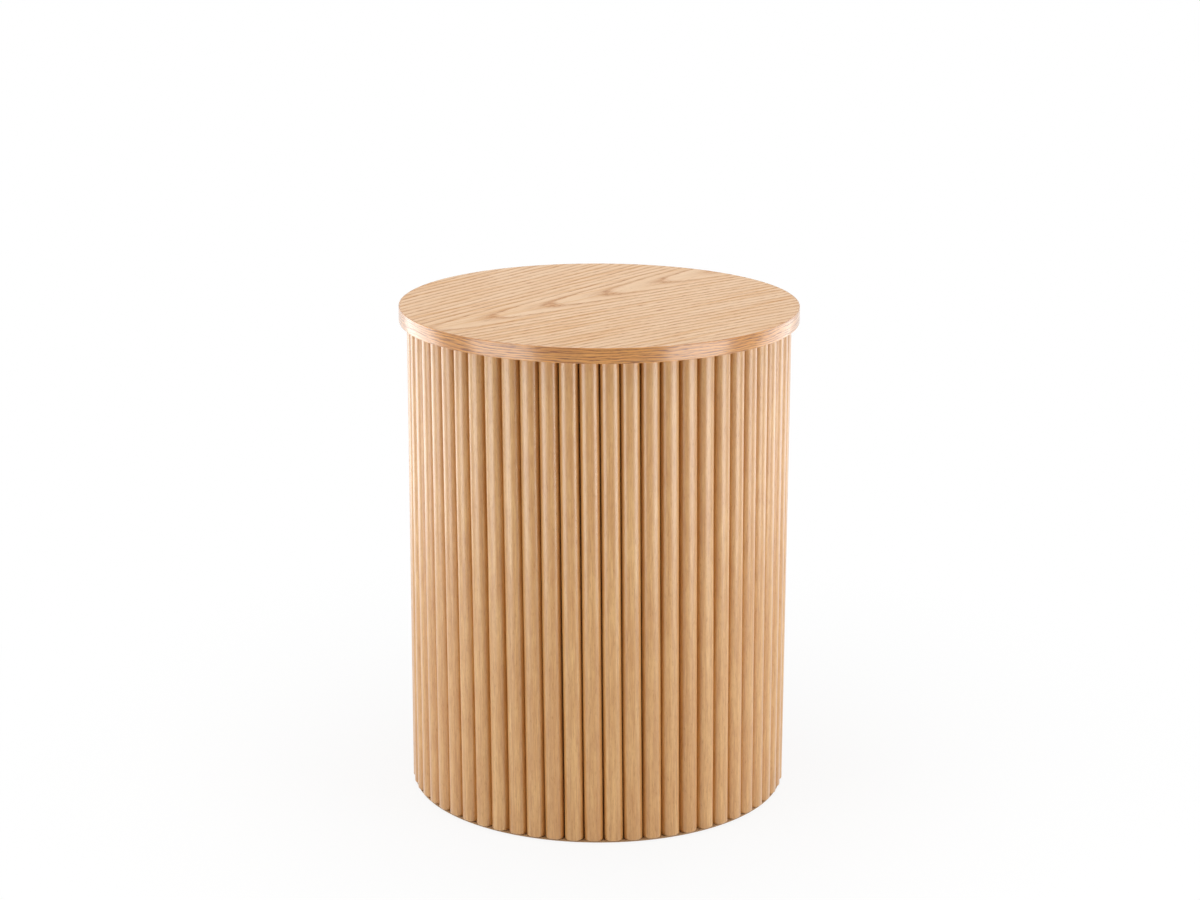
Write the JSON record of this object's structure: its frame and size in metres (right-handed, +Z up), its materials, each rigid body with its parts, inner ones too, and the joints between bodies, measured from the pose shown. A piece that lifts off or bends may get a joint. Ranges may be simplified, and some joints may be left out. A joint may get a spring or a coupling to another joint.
{
  "type": "drum side table",
  "caption": "Round side table: a thin oak-veneered disc top overhangs a hollow drum faced all round with upright half-round wooden slats, standing on a thin foot plate.",
  "frame": {"origin": "on the floor under the middle of the table", "axes": "+Z up along the drum's axis, -Y towards the front of the picture, +X to the right there"},
  "size_m": [0.4, 0.3999, 0.5],
  "materials": {
    "oak_veneer": "satin lacquer",
    "oak_edging": "satin lacquer",
    "slat_hardwood": "satin lacquer",
    "fibreboard": "raw board",
    "bent_plywood": "raw veneer",
    "former_plywood": "raw veneer",
    "batten_softwood": "planed",
    "zinc_steel": "zinc plated",
    "felt": "felt"
  },
  "bodies": {
    "root": {"base_panel": "fibreboard", "batten_lower_left": "batten_softwood", "batten_lower_right": "batten_softwood", "batten_upper_left": "batten_softwood", "batten_upper_right": "batten_softwood", "foot_pad_1": "felt", "foot_pad_2": "felt", "foot_pad_3": "felt", "foot_pad_4": "felt", "foot_plate": "fibreboard", "middle_ring": "former_plywood", "shell_back": "bent_plywood", "shell_front": "bent_plywood", "slats_01": "slat_hardwood", "slats_02": "slat_hardwood", "slats_03": "slat_hardwood", "slats_04": "slat_hardwood", "slats_05": "slat_hardwood", "slats_06": "slat_hardwood", "slats_07": "slat_hardwood", "slats_08": "slat_hardwood", "slats_09": "slat_hardwood", "slats_10": "slat_hardwood", "slats_11": "slat_hardwood", "slats_12": "slat_hardwood", "top_core": "fibreboard", "top_edge_band": "oak_edging", "top_face_veneer": "oak_veneer", "top_screws": "zinc_steel", "upper_ring": "former_plywood"}
  },
  "joints": []
}
